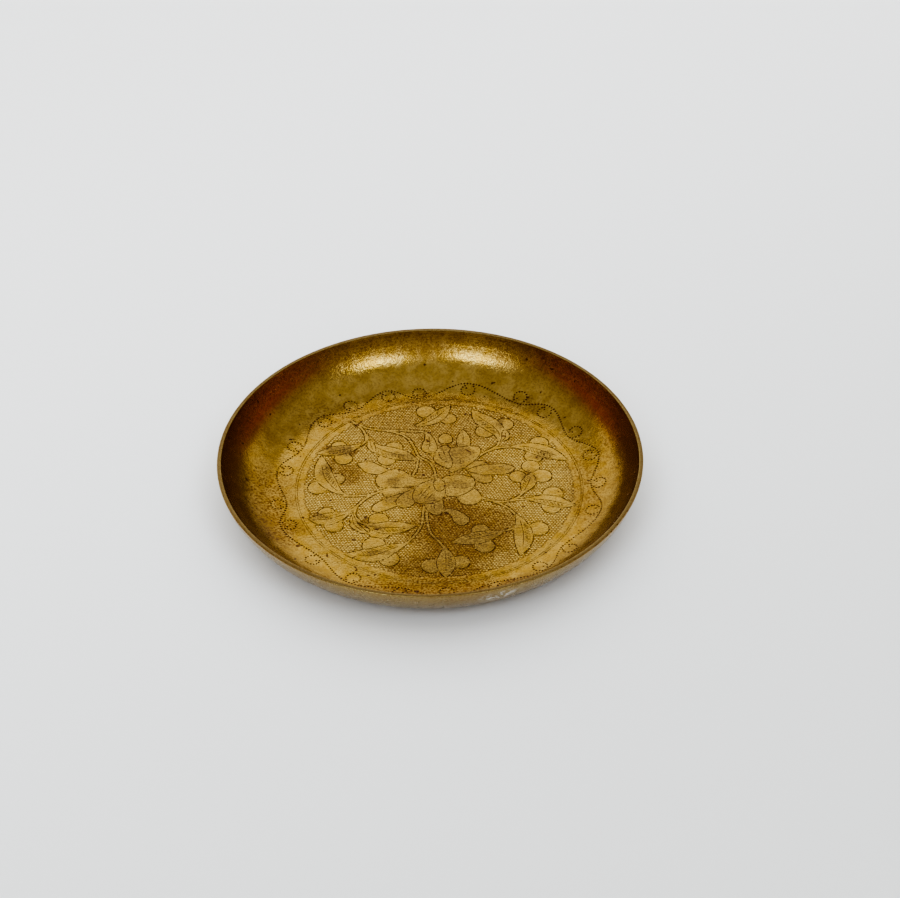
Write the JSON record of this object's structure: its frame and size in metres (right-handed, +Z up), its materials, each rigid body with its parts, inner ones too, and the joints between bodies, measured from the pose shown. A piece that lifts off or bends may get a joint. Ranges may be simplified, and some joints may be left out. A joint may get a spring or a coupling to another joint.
{
  "type": "tray",
  "caption": "Shallow round brass tray with a curved upturned wall, a plain level rim and a flat floor chased with flowers and leaves.",
  "frame": {"origin": "middle of the flat underside, on the surface that the tray stands on", "axes": "+Z up along the dish's axis, out of its open side; -Y is the side nearest the viewer of the engraved design"},
  "size_m": [0.13, 0.13, 0.0148],
  "materials": {
    "brass": "aged satin, chased and punched"
  },
  "bodies": {
    "root": {"tray_body": "brass"}
  },
  "joints": []
}
